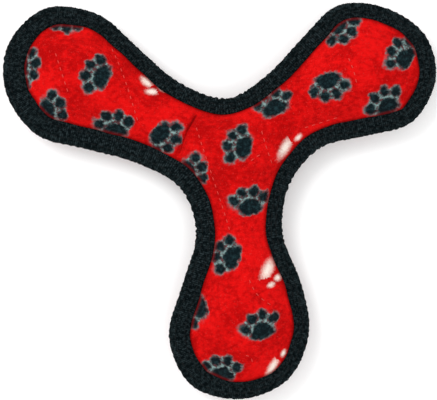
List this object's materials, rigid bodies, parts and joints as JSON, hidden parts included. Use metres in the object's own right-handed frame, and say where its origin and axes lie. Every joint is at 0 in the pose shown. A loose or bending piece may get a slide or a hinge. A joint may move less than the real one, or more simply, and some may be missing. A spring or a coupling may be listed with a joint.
{
  "type": "stuffed boomerang toy",
  "caption": "Soft stuffed boomerang toy with round-ended arms, paw-print fleece faces, folded black tape binding round the edge and squeakers sewn inside the lobes.",
  "frame": {"origin": "on the rest plane, under the centre of the hub where the arms' spines meet", "axes": "+Z from the rest plane towards the front face; +X towards the right arm's side, along the widest extent; +Y away from the lower arm"},
  "size_m": [0.2465, 0.2258, 0.0342],
  "materials": {
    "print_fleece": "brushed red fleece with a black paw print",
    "canvas": "plain woven",
    "tape": "ribbed woven webbing",
    "black_thread": "twisted polyester",
    "red_thread": "twisted polyester",
    "white_thread": "twisted polyester",
    "fibrefill": "loose polyester fibre",
    "bulb_plastic": "soft blow-moulded",
    "whistle_plastic": "moulded",
    "reed_film": "thin amber film"
  },
  "bodies": {
    "stuffed_body": {"front_fleece": "print_fleece", "front_canvas": "canvas", "front_quilting_thread": "red_thread", "back_fleece": "print_fleece", "back_canvas": "canvas", "back_quilting_thread": "red_thread", "edge_binding": "tape", "outer_needle_thread": "black_thread", "outer_bobbin_thread": "black_thread", "inner_needle_thread": "black_thread", "inner_bobbin_thread": "black_thread", "panel_seam_thread": "white_thread", "hub_filling": "fibrefill", "right_arm_filling": "fibrefill", "lower_arm_filling": "fibrefill", "left_arm_filling": "fibrefill", "right_squeaker_pouch": "canvas", "right_squeaker_bulb": "bulb_plastic", "lower_squeaker_pouch": "canvas", "lower_squeaker_bulb": "bulb_plastic", "left_squeaker_pouch": "canvas", "left_squeaker_bulb": "bulb_plastic"},
    "right_whistle": {"right_squeaker_whistle": "whistle_plastic", "right_squeaker_reed": "reed_film"},
    "lower_whistle": {"lower_squeaker_whistle": "whistle_plastic", "lower_squeaker_reed": "reed_film"},
    "left_whistle": {"left_squeaker_whistle": "whistle_plastic", "left_squeaker_reed": "reed_film"}
  },
  "joints": [
    {"name": "right_squeeze", "type": "slide", "parent": "stuffed_body", "child": "right_whistle", "axis": [0, 0, -1], "range_m": [0, 0.006], "stiffness_N_per_m": 1500, "deforming": ["right_squeaker_bulb"]},
    {"name": "lower_squeeze", "type": "slide", "parent": "stuffed_body", "child": "lower_whistle", "axis": [0, 0, -1], "range_m": [0, 0.006], "stiffness_N_per_m": 1500, "deforming": ["lower_squeaker_bulb"]},
    {"name": "left_squeeze", "type": "slide", "parent": "stuffed_body", "child": "left_whistle", "axis": [0, 0, -1], "range_m": [0, 0.006], "stiffness_N_per_m": 1500, "deforming": ["left_squeaker_bulb"]}
  ]
}
